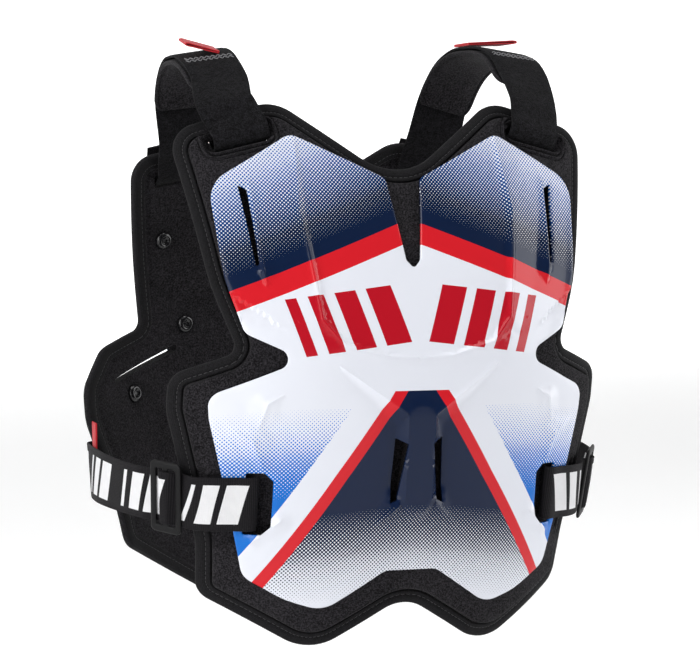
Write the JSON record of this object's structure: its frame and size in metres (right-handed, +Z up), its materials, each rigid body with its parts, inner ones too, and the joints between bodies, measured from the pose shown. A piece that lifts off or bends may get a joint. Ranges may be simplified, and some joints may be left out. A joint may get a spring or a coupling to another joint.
{
  "type": "roost deflector",
  "caption": "Roost deflector worn over the torso: ribbed plastic chest and back shells on foam pads, hung from padded shoulder straps and held by elastic waist straps with slide buckles.",
  "frame": {"origin": "midway between the shoulder straps, level with the underside of their cushions at the crest, where the protector hangs on its wearer", "axes": "+Z up, -Y the way the chest faces, +X towards the wearer's left"},
  "size_m": [0.384, 0.2926, 0.4512],
  "materials": {
    "foam": "matte foam faced with fine knitted fabric",
    "binding": "stitched matte edge binding",
    "front_plastic": "glossy, printed in white, navy, blue and red",
    "back_plastic": "glossy, printed in white, navy and red",
    "loop_webbing": "matte hook-and-loop pile",
    "elastic": "woven elastic with white slanted blocks",
    "black_plastic": "moulded, satin",
    "red_tab": "satin woven ribbon"
  },
  "bodies": {
    "root": {"front_pad": "foam", "back_pad": "foam", "front_binding": "binding", "back_binding": "binding", "front_shell": "front_plastic", "back_shell": "back_plastic", "shoulder_strap_right": "loop_webbing", "shoulder_cushion_right": "foam", "shoulder_tab_right": "red_tab", "waist_strap_right": "elastic", "waist_buckle_right": "black_plastic", "waist_tab_right": "red_tab", "shoulder_strap_left": "loop_webbing", "shoulder_cushion_left": "foam", "shoulder_tab_left": "red_tab", "waist_strap_left": "elastic", "waist_buckle_left": "black_plastic", "waist_tab_left": "red_tab", "front_rivet_shoulder_right": "black_plastic", "front_rivet_shoulder_left": "black_plastic", "front_rivet_waist_right": "black_plastic", "front_rivet_waist_left": "black_plastic", "front_rivet_hip_right": "black_plastic", "front_rivet_hip_left": "black_plastic", "back_rivet_shoulder_right": "black_plastic", "back_rivet_shoulder_left": "black_plastic", "back_rivet_waist_right": "black_plastic", "back_rivet_waist_left": "black_plastic", "back_rivet_hip_right": "black_plastic", "back_rivet_hip_left": "black_plastic"}
  },
  "joints": []
}
